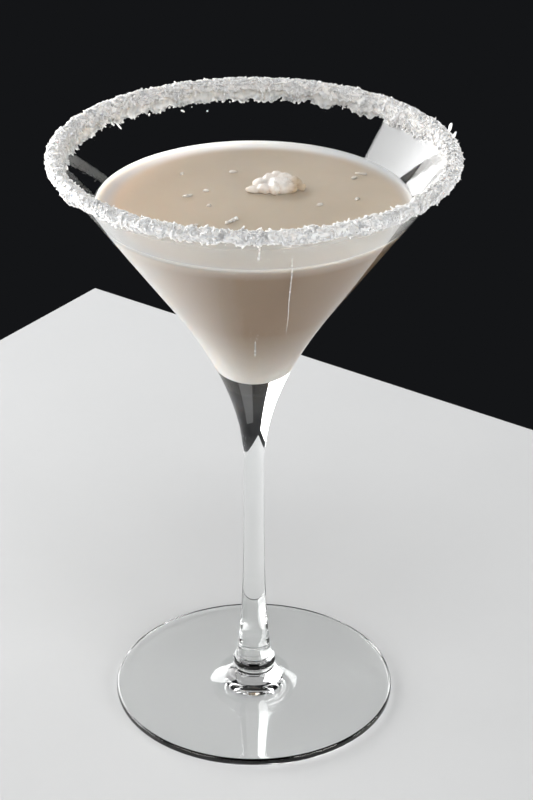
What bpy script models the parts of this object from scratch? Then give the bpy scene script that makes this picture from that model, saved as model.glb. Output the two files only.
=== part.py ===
# A stemmed martini glass with a creamy cocktail in it, a crust of desiccated coconut
# round its rim and a clump of coconut floating on the drink.
# Metres, +Z up. The glass stands on z = 0 with its axis on the Z axis.
import math
import random

import bmesh
import bpy
from mathutils import Matrix, Vector, noise

# Bowl
RIM_RADIUS = 0.0576
RIM_HEIGHT = 0.1829
BOWL_SLOPE = 0.719           # radius gained for each metre of height
BOWL_ANGLE = math.atan(BOWL_SLOPE)
WALL = 0.0013
WALL_ACROSS = WALL / math.cos(BOWL_ANGLE)
TIP_RADIUS = 0.0122          # rounding of the bowl's inside at its lowest point
OUTER_APEX = RIM_HEIGHT - RIM_RADIUS / BOWL_SLOPE
INNER_APEX = OUTER_APEX + WALL / math.sin(BOWL_ANGLE)

# Stem
STEM_RADIUS = 0.00313        # at its thinnest
STEM_WAIST = 0.0776          # height of the thinnest place
FLARE_TOP = 0.1372           # height where the stem's flare has become the bowl's cone
FLARE_STEM_PULL = 0.0091     # how long the flare stays upright
FLARE_BOWL_PULL = 0.0385     # how long it follows the cone
STEM_FOOT_RADIUS = 0.0055
STEM_FOOT_PULL = 0.0110
STEM_FOOT_LEAN = 0.0018
STEM_WAIST_PULL = 0.0300

# Collar, where the stem joins the foot
COLLAR_LOW = 0.0084
COLLAR_HIGH = 0.0132
COLLAR_RADIUS = 0.0067
COLLAR_NECK = 0.0062

# Foot
FOOT_RADIUS = 0.0440
FOOT_EDGE = 0.0026
FOOT_ROUND = 0.0011
FOOT_DOME_REACH = 0.0032     # how fast the foot's top falls away from the collar

# Drink
DRINK_LEVEL = 0.1681
GAP = 0.0003                 # left between neighbouring solids
MENISCUS_RISE = 0.0008
MENISCUS_WIDTH = 0.0026

# Coconut crust on the rim
CRUST_TOP = 0.1851
CRUST_TOP_TILT = 0.0004      # how much higher its top is at the left rear than opposite
CRUST_TOP_TILT_ANGLE = math.radians(150)
CRUST_RADIUS = 0.0600
CRUST_LOW_OUTSIDE = 0.1785
CRUST_FRONT_LIFT = 0.0017    # how much higher its outer edge stays at the front
CRUST_LOW_INSIDE = 0.1812
CRUST_DEEPER = 0.0026        # how much lower the inside reaches at the crust's heavy side
CRUST_HEAVY_ANGLE = math.radians(34)
CRUST_HEAVY_SPREAD = 0.33    # radians over which that fades
CRUST_RAGGED = 0.0010        # how much its lower edges wander
CRUST_BUMP = 0.00045
FLAKE_COUNT = 72
FLAKE_LENGTH = 0.0021
FLAKE_WIDTH = 0.0010
FLAKE_THICK = 0.0005

# Coconut clump on the drink
CLUMP_PLACE = (0.0070, 0.0096)
CLUMP_HALF_SIZE = (0.0080, 0.0056, 0.0029)
CLUMP_RISE = 0.0007          # its middle, above the drink's level
CLUMP_BUMP = 0.0011

# Specks of coconut on the drink: place and length, with the angle that each points along
SPECKS = (
    (-0.0192, 0.0051, 0.0024, 20),
    (-0.0140, 0.0088, 0.0011, 0),
    (-0.0130, -0.0021, 0.0010, 50),
    (-0.0062, 0.0232, 0.0016, 10),
    (-0.0214, 0.0216, 0.0011, 80),
    (-0.0170, -0.0163, 0.0022, 25),
    (-0.0063, -0.0128, 0.0052, 50),
    (0.0318, 0.0216, 0.0026, -15),
    (0.0296, 0.0184, 0.0014, 40),
    (0.0190, -0.0014, 0.0013, 30),
    (0.0299, 0.0029, 0.0012, 60),
)
SPECK_WIDTH = 0.0010
SPECK_RISE = 0.00045

# Sides of the round shapes, and the shortest edge that joining leaves
GLASS_SIDES = 72
DRINK_SIDES = 64
CRUST_SIDES = 76
SMALLEST = 0.00001

# Colours, as linear red, green, blue
GLASS_COLOUR = (0.93, 0.95, 0.95)
DRINK_COLOUR = (0.56, 0.47, 0.37)
COCONUT_COLOUR = (0.80, 0.79, 0.76)


def clear_scene():
    for old in list(bpy.data.objects):
        bpy.data.objects.remove(old)


def make_material(name, colour, roughness, transmission=0.0, ior=1.5):
    material = bpy.data.materials.new(name)
    material.use_nodes = True
    shader = material.node_tree.nodes["Principled BSDF"]
    shader.inputs["Base Color"].default_value = (*colour, 1.0)
    shader.inputs["Metallic"].default_value = 0.0
    shader.inputs["Roughness"].default_value = roughness
    shader.inputs["Transmission Weight"].default_value = transmission
    shader.inputs["IOR"].default_value = ior
    return material


def finish_mesh(bm, name):
    """Turn a closed bmesh into an object whose faces point outward."""
    bmesh.ops.recalc_face_normals(bm, faces=bm.faces[:])
    mesh = bpy.data.meshes.new(name)
    bm.to_mesh(mesh)
    bm.free()
    piece = bpy.data.objects.new(name, mesh)
    bpy.context.scene.collection.objects.link(piece)
    return piece


def turn_outline(points, sides, name, closed=False):
    """Spin an outline of (radius, height) points round the Z axis."""
    bm = bmesh.new()
    corners = [bm.verts.new((radius, 0.0, height)) for radius, height in points]
    pairs = list(zip(corners, corners[1:]))
    if closed:
        pairs.append((corners[-1], corners[0]))
    edges = [bm.edges.new(pair) for pair in pairs]
    bmesh.ops.spin(bm, geom=corners + edges, cent=(0, 0, 0), axis=(0, 0, 1), angle=math.tau,
                   steps=sides, use_merge=True)
    bmesh.ops.remove_doubles(bm, verts=bm.verts[:], dist=1e-6)
    return finish_mesh(bm, name)


def curve_points(start, start_pull, end_pull, end, steps):
    """Points of a cubic Bezier curve through (radius, height) places, both ends included."""
    places = []
    for step in range(steps + 1):
        t = step / steps
        s = 1.0 - t
        weights = (s * s * s, 3 * s * s * t, 3 * s * t * t, t * t * t)
        corners = (start, start_pull, end_pull, end)
        places.append(tuple(sum(w * c[axis] for w, c in zip(weights, corners)) for axis in (0, 1)))
    return places


def arc_points(centre, radius, first, last, steps):
    """Points of an arc about a (radius, height) centre, angles in degrees."""
    places = []
    for step in range(steps + 1):
        angle = math.radians(first + (last - first) * step / steps)
        places.append((centre[0] + radius * math.cos(angle), centre[1] + radius * math.sin(angle)))
    return places


def outer_wall(height):
    """Radius of the bowl's outside at a height."""
    return RIM_RADIUS - (RIM_HEIGHT - height) * BOWL_SLOPE


def inner_wall(height):
    """Radius of the bowl's inside at a height."""
    return outer_wall(height) - WALL_ACROSS


def tip_arc(inset, steps):
    """The round lowest part of the bowl's inside, moved in by inset, from the cone down to the axis."""
    centre_height = INNER_APEX + TIP_RADIUS / math.sin(BOWL_ANGLE)
    return arc_points((0.0, centre_height), TIP_RADIUS - inset, -math.degrees(BOWL_ANGLE), -90, steps)


# Glass

def foot_outline():
    edge_centre = (FOOT_RADIUS - FOOT_ROUND, FOOT_ROUND)
    points = [(0.0, 0.0)]
    points += arc_points(edge_centre, FOOT_ROUND, -90, 0, 3)
    points.append((FOOT_RADIUS, FOOT_EDGE - FOOT_ROUND))
    points.append((FOOT_RADIUS - 0.35 * FOOT_ROUND, FOOT_EDGE - 0.3 * FOOT_ROUND))
    points.append((FOOT_RADIUS - FOOT_ROUND, FOOT_EDGE))
    dome = COLLAR_LOW - FOOT_EDGE
    for radius in (0.032, 0.0180, 0.0130, 0.0102, 0.0080):
        points.append((radius, FOOT_EDGE + dome * math.exp((COLLAR_NECK - radius) / FOOT_DOME_REACH)))
    return points


def collar_outline():
    middle = 0.5 * (COLLAR_LOW + COLLAR_HIGH) - 0.0004
    return [
        (COLLAR_NECK, COLLAR_LOW),
        (COLLAR_RADIUS - 0.0001, COLLAR_LOW + 0.0006),
        (COLLAR_RADIUS, middle),
        (0.5 * (COLLAR_RADIUS + STEM_FOOT_RADIUS), COLLAR_HIGH - 0.0010),
    ]


def stem_outline():
    foot = (STEM_FOOT_RADIUS, COLLAR_HIGH)
    waist = (STEM_RADIUS, STEM_WAIST)
    lower = curve_points(foot, (foot[0] - STEM_FOOT_LEAN, foot[1] + STEM_FOOT_PULL),
                         (waist[0], waist[1] - STEM_WAIST_PULL), waist, 6)
    top = (outer_wall(FLARE_TOP), FLARE_TOP)
    bowl_pull = (top[0] - FLARE_BOWL_PULL * math.sin(BOWL_ANGLE),
                 top[1] - FLARE_BOWL_PULL * math.cos(BOWL_ANGLE))
    upper = curve_points(waist, (waist[0], waist[1] + FLARE_STEM_PULL), bowl_pull, top, 11)
    return lower + upper[1:]


def bowl_outline():
    lip_centre = (RIM_RADIUS - 0.5 * WALL_ACROSS, RIM_HEIGHT)
    return arc_points(lip_centre, 0.5 * WALL_ACROSS, 0, 180, 4) + tip_arc(0.0, 5)[:-1]


def build_glass():
    tip = INNER_APEX + TIP_RADIUS / math.sin(BOWL_ANGLE) - TIP_RADIUS
    outline = foot_outline() + collar_outline() + stem_outline() + bowl_outline() + [(0.0, tip)]
    return turn_outline(outline, GLASS_SIDES, "glass")


# Drink

def drink_outline():
    inset = GAP / math.cos(BOWL_ANGLE)
    top = DRINK_LEVEL + MENISCUS_RISE
    edge = inner_wall(top) - inset
    points = [(0.0, tip_arc(GAP, 1)[-1][1])]
    points += reversed(tip_arc(GAP, 4)[:-1])
    points.append((edge, top))
    for share in (0.12, 0.35, 0.65):
        points.append((edge - share * MENISCUS_WIDTH, DRINK_LEVEL + MENISCUS_RISE * (1 - share) ** 2.2))
    points.append((edge - MENISCUS_WIDTH, DRINK_LEVEL))
    points.append((0.55 * edge, DRINK_LEVEL))
    points.append((0.0, DRINK_LEVEL))
    return points


def build_speck(place_x, place_y, length, heading):
    bm = bmesh.new()
    bmesh.ops.create_uvsphere(bm, u_segments=6, v_segments=4, radius=1.0)
    shape = Matrix.Diagonal((0.5 * length, 0.5 * SPECK_WIDTH, SPECK_RISE, 1.0))
    turn = Matrix.Rotation(math.radians(heading), 4, "Z")
    place = Matrix.Translation((place_x, place_y, DRINK_LEVEL + 0.2 * SPECK_RISE))
    bmesh.ops.transform(bm, matrix=place @ turn @ shape, verts=bm.verts[:])
    return finish_mesh(bm, "speck")


def build_clump(grow, name):
    """The floating clump; grow widens it, for the pocket that it lies in."""
    bm = bmesh.new()
    bmesh.ops.create_icosphere(bm, subdivisions=3, radius=1.0)
    half = Vector(CLUMP_HALF_SIZE)
    middle = Vector((*CLUMP_PLACE, DRINK_LEVEL + CLUMP_RISE))
    for vertex in bm.verts:
        outward = vertex.co.normalized()
        bump = CLUMP_BUMP * noise.noise(outward * 2.3 + Vector((4.1, 0.7, 2.2)))
        shape = Vector((outward.x * half.x, outward.y * half.y, outward.z * half.z))
        vertex.co = middle + shape + outward * (bump + grow)
    return finish_mesh(bm, name)


def build_drink():
    drink = turn_outline(drink_outline(), DRINK_SIDES, "drink")
    fuse(drink, [build_speck(*speck) for speck in SPECKS])
    cut(drink, build_clump(1.3 * GAP, "clump_pocket"))
    return drink


# Coconut crust

def crust_outline(angle):
    """Outline of the crust at one angle, from its outer lip over the top to its inner lip."""
    around = Vector((math.cos(angle), math.sin(angle), 0.0))
    front = math.exp(-((angle - math.radians(270)) / 0.75) ** 2)
    ragged = CRUST_RAGGED * (noise.noise(around * 9.0) + noise.noise(around * 23.0))
    low_out = CRUST_LOW_OUTSIDE + CRUST_FRONT_LIFT * front + ragged
    heavy = math.exp(-((angle - CRUST_HEAVY_ANGLE) / CRUST_HEAVY_SPREAD) ** 2)
    wander = CRUST_RAGGED * (noise.noise(around * 11.0 + Vector((0, 0, 5))) + noise.noise(around * 26.0))
    low_in = min(CRUST_LOW_INSIDE + wander, 0.1817) - CRUST_DEEPER * heavy
    top = CRUST_TOP + CRUST_TOP_TILT * math.cos(angle - CRUST_TOP_TILT_ANGLE)
    outline = [
        (outer_wall(low_out) + 0.0009, low_out),
        (outer_wall(low_out + 0.0013) + 0.0020, low_out + 0.0013),
        (CRUST_RADIUS, top - 0.0026),
        (CRUST_RADIUS - 0.0003, top - 0.0011),
        (CRUST_RADIUS - 0.0015, top - 0.0002),
        (CRUST_RADIUS - 0.0030, top),
        (CRUST_RADIUS - 0.0044, top - 0.0004),
        (CRUST_RADIUS - 0.0054, top - 0.0013),
        (inner_wall(low_in + 0.0018) - 0.0014, low_in + 0.0018),
        (inner_wall(low_in + 0.0009) - 0.0012, low_in + 0.0009),
        (inner_wall(low_in) - 0.0006, low_in),
    ]
    bumpy = []
    for index, (radius, height) in enumerate(outline):
        spot = around * 30.0 + Vector((0, 0, 1.7 * index))
        radius_bump = CRUST_BUMP * noise.noise(spot)
        height_bump = CRUST_BUMP * noise.noise(spot + Vector((7, 3, 0)))
        bumpy.append((radius + radius_bump, height + height_bump))
    return bumpy


def build_crust_ring():
    bm = bmesh.new()
    rows = []
    for side in range(CRUST_SIDES):
        angle = math.tau * side / CRUST_SIDES
        row = [bm.verts.new((radius * math.cos(angle), radius * math.sin(angle), height))
               for radius, height in crust_outline(angle)]
        rows.append(row)
    count = len(rows[0])
    for row, following in zip(rows, rows[1:] + rows[:1]):
        for index in range(count):
            beyond = (index + 1) % count
            bm.faces.new((row[index], following[index], following[beyond], row[beyond]))
    return finish_mesh(bm, "rim_coconut")


def build_flake(place, frame, size):
    """A shred of coconut: a small block that narrows to one end."""
    bm = bmesh.new()
    bmesh.ops.create_cube(bm, size=1.0)
    for vertex in bm.verts:
        if vertex.co.x > 0:
            vertex.co.y *= 0.55
            vertex.co.z *= 0.6
    shape = Matrix.Diagonal((*size, 1.0))
    bmesh.ops.transform(bm, matrix=Matrix.Translation(place) @ frame @ shape, verts=bm.verts[:])
    return finish_mesh(bm, "flake")


def flake_frame(along, tilt, roll):
    """Turn a flake's length to a direction, then tip and roll it at random."""
    base = Vector(along).to_track_quat("X", "Z").to_matrix().to_4x4()
    return base @ Matrix.Rotation(tilt, 4, "Y") @ Matrix.Rotation(roll, 4, "X")


def build_flakes():
    """Shreds spread evenly round the crust, in turn on its lips, its faces and its top."""
    draw = random.Random(7)
    flakes = []
    for index in range(FLAKE_COUNT):
        angle = math.tau * (index + draw.uniform(-0.3, 0.3)) / FLAKE_COUNT
        outline = crust_outline(angle)
        corner = (0, 5, 10, 3, 8)[index % 5]
        radius, height = outline[corner]
        outward = Vector((math.cos(angle), math.sin(angle), 0.0))
        across = Vector((-outward.y, outward.x, 0.0))
        if corner in (0, 10):
            along = Vector((0, 0, -1)) - 0.6 * outward + draw.uniform(-0.6, 0.6) * across
            radius += 0.0003 if corner == 0 else -0.0002
        elif corner == 5:
            along = across + Vector((0, 0, draw.uniform(0.2, 0.8))) + draw.uniform(-0.5, 0.5) * outward
        else:
            along = across + Vector((0, 0, draw.uniform(-0.8, 0.8)))
        scale = draw.uniform(0.75, 1.25)
        size = (FLAKE_LENGTH * scale, FLAKE_WIDTH * draw.uniform(0.8, 1.2), FLAKE_THICK * 1.2)
        frame = flake_frame(along, draw.uniform(-0.2, 0.2), draw.uniform(-0.6, 0.6))
        flakes.append(build_flake(outward * radius + Vector((0, 0, height)), frame, size))
    return flakes


def build_strands():
    """Two longer shreds that stand up from the crust at its heavy side."""
    strands = []
    for degrees, height, lean, length in ((14, 0.1858, 0.25, 0.0036), (10, 0.1850, 0.55, 0.0034)):
        angle = math.radians(degrees)
        outward = Vector((math.cos(angle), math.sin(angle), 0.0))
        along = Vector((0, 0, 1)) + lean * outward
        place = outward * (CRUST_RADIUS - 0.0012) + Vector((0, 0, height))
        size = (length, 0.9 * FLAKE_WIDTH, 0.0006)
        strands.append(build_flake(place, flake_frame(along, 0.0, 0.4), size))
    return strands


def build_rim_slot():
    """The space round the glass's rim, wider than the glass by the gap on every side."""
    gap = GAP / math.cos(BOWL_ANGLE)
    low = CRUST_LOW_INSIDE - 0.0120
    top = RIM_HEIGHT + 0.5 * WALL_ACROSS + GAP
    outline = [
        (outer_wall(low) + gap, low),
        (RIM_RADIUS + gap, RIM_HEIGHT),
        (RIM_RADIUS - 0.15 * WALL_ACROSS, top),
        (RIM_RADIUS - 0.85 * WALL_ACROSS, top),
        (RIM_RADIUS - WALL_ACROSS - gap, RIM_HEIGHT),
        (inner_wall(low) - gap, low),
    ]
    return turn_outline(outline, GLASS_SIDES, "rim_slot", closed=True)


def build_crust():
    crust = build_crust_ring()
    fuse(crust, build_flakes() + build_strands())
    cut(crust, build_rim_slot())
    return crust


# Joining and cutting

def settle(piece):
    """Keep a piece's mesh as its modifiers leave it, without stray loose scraps."""
    graph = bpy.context.evaluated_depsgraph_get()
    mesh = bpy.data.meshes.new_from_object(piece.evaluated_get(graph))
    piece.modifiers.clear()
    piece.data = mesh
    bm = bmesh.new()
    bm.from_mesh(mesh)
    bmesh.ops.remove_doubles(bm, verts=bm.verts[:], dist=SMALLEST)
    drop_scraps(bm)
    bmesh.ops.triangulate(bm, faces=bm.faces[:])
    bmesh.ops.dissolve_degenerate(bm, edges=bm.edges[:], dist=SMALLEST)
    bmesh.ops.triangulate(bm, faces=bm.faces[:])
    bm.to_mesh(mesh)
    bm.free()


def drop_scraps(bm):
    """Keep only the largest connected piece."""
    unseen = set(bm.verts)
    groups = []
    while unseen:
        group = set()
        front = [unseen.pop()]
        while front:
            vertex = front.pop()
            group.add(vertex)
            for edge in vertex.link_edges:
                other = edge.other_vert(vertex)
                if other in unseen:
                    unseen.remove(other)
                    front.append(other)
        groups.append(group)
    groups.sort(key=len)
    scraps = [vertex for group in groups[:-1] for vertex in group]
    bmesh.ops.delete(bm, geom=scraps, context="VERTS")


def fuse(piece, additions):
    """Join small pieces to a larger one by one Boolean union, then remove them."""
    group = bpy.data.collections.new("additions")
    bpy.context.scene.collection.children.link(group)
    for addition in additions:
        group.objects.link(addition)
    union = piece.modifiers.new("fuse", "BOOLEAN")
    union.operation = "UNION"
    union.operand_type = "COLLECTION"
    union.collection = group
    union.solver = "EXACT"
    settle(piece)
    for addition in additions:
        bpy.data.objects.remove(addition)
    bpy.data.collections.remove(group)


def cut(piece, cutter):
    """Cut one shape out of a piece, then remove the cutter."""
    difference = piece.modifiers.new("cut", "BOOLEAN")
    difference.operation = "DIFFERENCE"
    difference.object = cutter
    difference.solver = "EXACT"
    settle(piece)
    bpy.data.objects.remove(cutter)


def build():
    clear_scene()
    glass = build_glass()
    glass.data.materials.append(make_material("clear_glass", GLASS_COLOUR, 0.02, transmission=1.0))
    drink = build_drink()
    drink.data.materials.append(make_material("cream_drink", DRINK_COLOUR, 0.25))
    crust = build_crust()
    crust.data.materials.append(make_material("rim_coconut", COCONUT_COLOUR, 0.85))
    clump = build_clump(0.0, "coconut_clump")
    clump.data.materials.append(make_material("wet_coconut", COCONUT_COLOUR, 0.6))


build()
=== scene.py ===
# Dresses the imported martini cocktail: clear glass, creamy drink, a crust of desiccated
# coconut round the rim and a wet clump of coconut afloat. Metres, +Z up.
import math
import random

import bmesh
import bpy
from mathutils import Matrix, Vector, noise


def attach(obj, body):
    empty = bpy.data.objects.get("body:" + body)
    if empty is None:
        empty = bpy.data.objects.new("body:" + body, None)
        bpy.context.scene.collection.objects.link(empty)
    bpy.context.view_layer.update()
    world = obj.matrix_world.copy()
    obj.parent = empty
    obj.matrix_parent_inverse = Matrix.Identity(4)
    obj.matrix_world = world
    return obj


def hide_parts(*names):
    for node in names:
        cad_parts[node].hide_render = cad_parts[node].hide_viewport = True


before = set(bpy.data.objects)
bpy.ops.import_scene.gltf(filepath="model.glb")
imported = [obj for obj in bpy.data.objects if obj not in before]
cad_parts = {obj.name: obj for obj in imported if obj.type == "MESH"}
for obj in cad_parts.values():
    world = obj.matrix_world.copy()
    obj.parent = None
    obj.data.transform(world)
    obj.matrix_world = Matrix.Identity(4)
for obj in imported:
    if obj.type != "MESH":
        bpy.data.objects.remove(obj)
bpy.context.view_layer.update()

# Bowl, as in the solids
RIM_RADIUS = 0.0576
RIM_HEIGHT = 0.1829
BOWL_SLOPE = 0.719
BOWL_ANGLE = math.atan(BOWL_SLOPE)
WALL = 0.0013
WALL_ACROSS = WALL / math.cos(BOWL_ANGLE)
TIP_RADIUS = 0.0122
INNER_APEX = RIM_HEIGHT - RIM_RADIUS / BOWL_SLOPE + WALL / math.sin(BOWL_ANGLE)

# Stem, collar and foot, as in the solids
STEM_RADIUS = 0.00313
STEM_WAIST = 0.0776
FLARE_TOP = 0.1372
FLARE_STEM_PULL = 0.0091
FLARE_BOWL_PULL = 0.0385
STEM_FOOT_RADIUS = 0.0055
STEM_FOOT_PULL = 0.0110
STEM_FOOT_LEAN = 0.0018
STEM_WAIST_PULL = 0.0300
COLLAR_LOW = 0.0084
COLLAR_HIGH = 0.0132
COLLAR_RADIUS = 0.0067
COLLAR_NECK = 0.0062
FOOT_RADIUS = 0.0440
FOOT_EDGE = 0.0026
FOOT_ROUND = 0.0011
FOOT_DOME_REACH = 0.0032
FOOT_UPPER_ROUND = 0.7 * FOOT_ROUND
FOOT_HOLLOW = 0.00025             # how far the underside is hollowed at its middle, and how far out
FOOT_HOLLOW_RADIUS = 0.0385
GLASS_SIDES = 192

# Drink
DRINK_LEVEL = 0.1681
MENISCUS_RISE = 0.0008
MENISCUS_WIDTH = 0.0026
DRINK_REACH = 0.00012             # how far it reaches into the wall, so that no air shows
DRINK_SIDES = 160
DRINK_RING = (0.0402, 0.0452)     # radius where painted light starts to pale its top, and where it has paled
DRINK_TIP = (0.138, 0.112)        # height where painted light starts to pale its near side, and where it has paled
RIPPLE = 0.000015                 # how uneven its top is, out to a radius, with a soft end
RIPPLE_RADIUS = 0.0435
RIPPLE_FADE = 0.004
CLIMB = 0.0005                    # how far it climbs at the clump, how far from its middle, how softly
CLIMB_RADIUS = 0.0042
CLIMB_FADE = 0.0011

# Coconut crust, close to the solids' own
CRUST_TOP = 0.1851
CRUST_TOP_TILT = 0.0004
CRUST_TOP_TILT_ANGLE = math.radians(150)
CRUST_RADIUS = 0.0600
CRUST_LOW_OUTSIDE = 0.1785
CRUST_FRONT_LIFT = 0.0017
CRUST_FRONT_SPREAD = 0.75
CRUST_LOW_INSIDE = 0.1818
CRUST_HIGHEST_INSIDE = 0.1821
CRUST_DEEPER = 0.0026             # how much deeper it reaches inside on its heavy side
CRUST_HEAVY_ANGLE = math.radians(34)
CRUST_HEAVY_SPREAD = 0.33
CRUST_RAGGED = 0.0010
KNOB_ANGLE = math.radians(208)    # a thicker knob on the outside of the crust
KNOB_SPREAD = 0.045
KNOB_SWELL = 0.0011
CORE_SIDES = 620
CORE_INSET = 0.0004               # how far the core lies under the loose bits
CORE_LUMPS = ((0.00042, 420.0), (0.00032, 1100.0), (0.00016, 2300.0))    # height and fineness

# Fringe of loose bits on the wall under the crust: how dense it is at each step down
FRINGE_SIDES = 240
FRINGE_STEP = 0.0006
FRINGE_COVER = (0.5, 0.10, 0.02, 0.006, 0.0)

# Coconut pieces: length, width and thickness of each kind, and how many in a square metre
CRUMB_SIZE = (0.00062, 0.00054, 0.00046)
CRUMBS = 1_450_000
FLAKE_SIZE = (0.0015, 0.00075, 0.00028)
FLAKES = 560_000
SHRED_SIZE = (0.0027, 0.00058, 0.00034)
SHREDS = 150_000

# Shreds that stand up from the crust: angle in degrees, height, lean and length
STRANDS = ((14, 0.1857, 0.25, 0.0028), (10, 0.1849, 0.55, 0.0024))
STRAND_WIDTH = 0.0009
STRAND_THICKNESS = 0.0006

# Clump afloat, and the lumps that it is made of: place from its middle, and half sizes, in mm
CLUMP_PLACE = (0.0070, 0.0096)
CLUMP_LUMPS = (
    (-6.3, -1.2, 0.3, 2.2, 1.3, 0.9),
    (-4.6, 0.9, 0.9, 2.1, 1.7, 1.3),
    (-2.3, 2.2, 1.4, 1.9, 1.7, 1.5),
    (-0.4, 3.1, 1.6, 1.7, 1.5, 1.6),
    (1.9, 2.4, 1.5, 2.0, 1.8, 1.5),
    (4.3, 1.5, 1.1, 2.0, 1.7, 1.3),
    (-3.5, -1.7, 0.8, 1.9, 1.5, 1.2),
    (-1.1, -2.2, 1.2, 1.2, 2.0, 1.7),
    (1.2, -1.8, 1.1, 1.7, 1.5, 1.4),
    (3.4, -1.4, 0.9, 1.8, 1.6, 1.2),
    (6.2, 0.4, 0.3, 1.8, 1.3, 0.9),
    (0.5, 0.3, 0.6, 4.6, 3.0, 1.9),
)
CLUMP_SPREAD = (1.08, 1.4)                    # the lumps' places are spread, and all are lifted
CLUMP_LIFT = 0.6
CLUMP_SWELL = (0.00122, 0.00128, 0.00125)     # their half sizes in mm are swollen and made metres
CLUMP_STRETCH = 1.45                          # how much longer than deep the clump is
CLUMP_VOXEL = 0.00022

# Specks of coconut on the drink: place, length and heading in degrees
SPECKS = (
    (-0.0192, 0.0051, 0.0024, 20),
    (-0.0140, 0.0088, 0.0011, 0),
    (-0.0130, -0.0021, 0.0010, 50),
    (-0.0062, 0.0232, 0.0016, 10),
    (-0.0214, 0.0216, 0.0011, 80),
    (-0.0170, -0.0163, 0.0022, 25),
    (-0.0063, -0.0128, 0.0052, 50),
    (0.0318, 0.0216, 0.0026, -15),
    (0.0296, 0.0184, 0.0014, 40),
    (0.0190, -0.0014, 0.0013, 30),
    (0.0299, 0.0029, 0.0012, 60),
)
SPECK_HALF_WIDTH = 0.00060
SPECK_HALF_HEIGHT = 0.00050
SPECK_LUMP = 0.0012               # a longer speck is several lumps in a row

# Crumbs that stick to the inside of the wall: angle in degrees and height in mm
WALL_CRUMBS = (
    (111, 178.6), (106, 177.1), (98, 179.0), (142, 179.3), (169, 180.5), (145, 180.2),
)

# Milky film and painted reflection haze on the near half of the wall's inside, over the drink: first and
# last angle
FILM_ANGLES = (math.radians(194), math.radians(374))
FILM_REACH = 0.00003              # how far it reaches into the wall
FILM_THICKNESS = 0.00006
FILM_TOP = 0.1822
FILM_FAINTEST = 0.172             # its haze grows from here to its top
FILM_HAZE = (0.19, 0.33)
FILM_COLUMNS = 120
FILM_ROWS = 10

# Runs of syrup on the outside of the bowl: angle in degrees, height in mm and half width in mm
DRIPS = (
    ((-88.3, 181.4, 0.20), (-88.4, 178.5, 0.22), (-88.5, 175.4, 0.28), (-88.6, 174.0, 0.42),
     (-88.6, 173.3, 0.2)),
    ((-78.4, 174.2, 0.05), (-78.0, 171.8, 0.16), (-76.8, 165.9, 0.15), (-74.7, 154.2, 0.14),
     (-71.5, 145.0, 0.10), (-68.4, 137.4, 0.04)),
    ((-89.1, 135.4, 0.05), (-89.1, 133.4, 0.22), (-89.1, 130.0, 0.26), (-89.1, 128.4, 0.30),
     (-89.1, 127.4, 0.06)),
)

# Floor: the corner behind the glass, the ways along its two edges, their length, its top and bottom
FLOOR_CORNER = Vector((-0.0685, 0.297, 0.0))
FLOOR_RIGHT = Vector((0.81, -0.586, 0.0))
FLOOR_NEAR = Vector((-0.586, -0.81, 0.0))
FLOOR_LENGTH = 0.95
FLOOR_HEIGHTS = (-0.0002, -0.02)

# Camera: its place, how far down it looks, and its lens. In a picture 800 pixels tall its focal
# length is FOCAL_PIXELS and the glass stands AXIS_SHIFT left of the middle
CAMERA_PLACE = (0.0, -0.6384, 0.4442)
CAMERA_DOWN = 0.4901
SENSOR = 36.0
PICTURE_HEIGHT = 800
FOCAL_PIXELS = 2399.35
AXIS_SHIFT = 12.5

LAMP_TARGET = Vector((0, 0, 0.12))    # what every lamp faces


# Building node trees

def add(tree, kind, values=None, **settings):
    """Add a node, set its options, and give its sockets values or links."""
    node = tree.nodes.new(kind)
    for option, value in settings.items():
        setattr(node, option, value)
    for socket, value in (values or {}).items():
        if isinstance(value, bpy.types.NodeSocket):
            tree.links.new(value, node.inputs[socket])
        else:
            node.inputs[socket].default_value = value
    return node


def calculated(tree, operation, *values):
    """What one sum gives for values or sockets."""
    return add(tree, "ShaderNodeMath", dict(enumerate(values)), operation=operation).outputs[0]


def new_tree(name, inputs):
    """A geometry tree with the named inputs; returns it with its input and output nodes."""
    tree = bpy.data.node_groups.new(name, "GeometryNodeTree")
    tree.interface.new_socket("Geometry", in_out="INPUT", socket_type="NodeSocketGeometry")
    for label, kind in inputs.items():
        tree.interface.new_socket(label, in_out="INPUT", socket_type="NodeSocket" + kind)
    tree.interface.new_socket("Geometry", in_out="OUTPUT", socket_type="NodeSocketGeometry")
    return tree, tree.nodes.new("NodeGroupInput").outputs, tree.nodes.new("NodeGroupOutput").inputs


def end_tree(tree, geometry, given, result):
    """End a tree in plain faces of one material."""
    plain = add(tree, "GeometryNodeRealizeInstances", {"Geometry": geometry})
    painted = add(tree, "GeometryNodeSetMaterial",
                  {"Geometry": plain.outputs["Geometry"], "Material": given["Material"]})
    tree.links.new(painted.outputs["Geometry"], result["Geometry"])


def grow(name, mesh, tree, **inputs):
    """Run a tree on a mesh and keep what it makes as a plain mesh of a new object."""
    piece = new_object(name, mesh)
    modifier = piece.modifiers.new(name, "NODES")
    modifier.node_group = tree
    for item in tree.interface.items_tree:
        key = item.name.replace(" ", "_").lower()
        if item.item_type == "SOCKET" and item.in_out == "INPUT" and key in inputs:
            modifier[item.identifier] = inputs[key]
    return settle(piece)


def settle(piece):
    """Replace a piece's mesh by what its modifiers make of it, and remove them."""
    graph = bpy.context.evaluated_depsgraph_get()
    mesh = bpy.data.meshes.new_from_object(piece.evaluated_get(graph))
    piece.modifiers.clear()
    piece.data = mesh
    mesh.name = piece.name
    return piece


# Small mesh tools

def new_object(name, data, collection=None):
    piece = bpy.data.objects.new(name, data)
    (collection or bpy.context.scene.collection).objects.link(piece)
    return piece


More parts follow.
